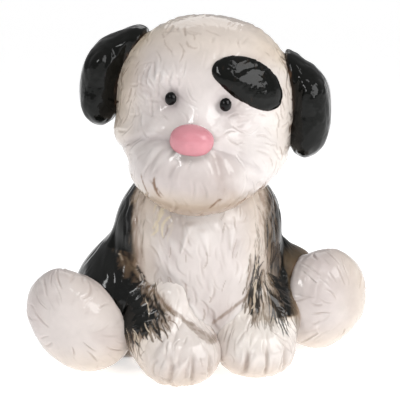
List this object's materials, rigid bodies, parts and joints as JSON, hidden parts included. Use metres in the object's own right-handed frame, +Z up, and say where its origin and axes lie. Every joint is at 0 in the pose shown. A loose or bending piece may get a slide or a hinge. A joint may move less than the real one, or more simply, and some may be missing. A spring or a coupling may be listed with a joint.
{
  "type": "figural animal coin bank",
  "caption": "Sitting shaggy puppy money box in glazed ceramic, hollow body and turned head, coin slot in its back and a pull-out stopper in its base.",
  "frame": {"origin": "centre of the bounding box's bottom face, on the plane the puppy stands on", "axes": "+Z up, -Y the way the puppy's body faces, +X towards its left side"},
  "size_m": [0.169, 0.1168, 0.1669],
  "materials": {
    "white_glaze": "gloss glaze, black and brown brushed over the body",
    "black_glaze": "gloss glaze",
    "pink_glaze": "gloss glaze",
    "stopper_rubber": "satin, translucent off-white"
  },
  "bodies": {
    "bank": {"body_shell": "white_glaze", "head_shell": "white_glaze", "right_ear": "black_glaze", "left_ear": "black_glaze", "nose": "pink_glaze", "right_eye": "black_glaze", "left_eye": "black_glaze", "eye_patch": "black_glaze", "right_foreleg": "white_glaze", "left_foreleg": "white_glaze", "right_hind_foot": "white_glaze", "left_hind_foot": "white_glaze", "tail": "black_glaze"},
    "stopper": {"stopper": "stopper_rubber"}
  },
  "joints": [
    {"name": "stopper_pull", "type": "slide", "parent": "bank", "child": "stopper", "axis": [0, 0, -1], "range_m": [0, 0.025]}
  ]
}
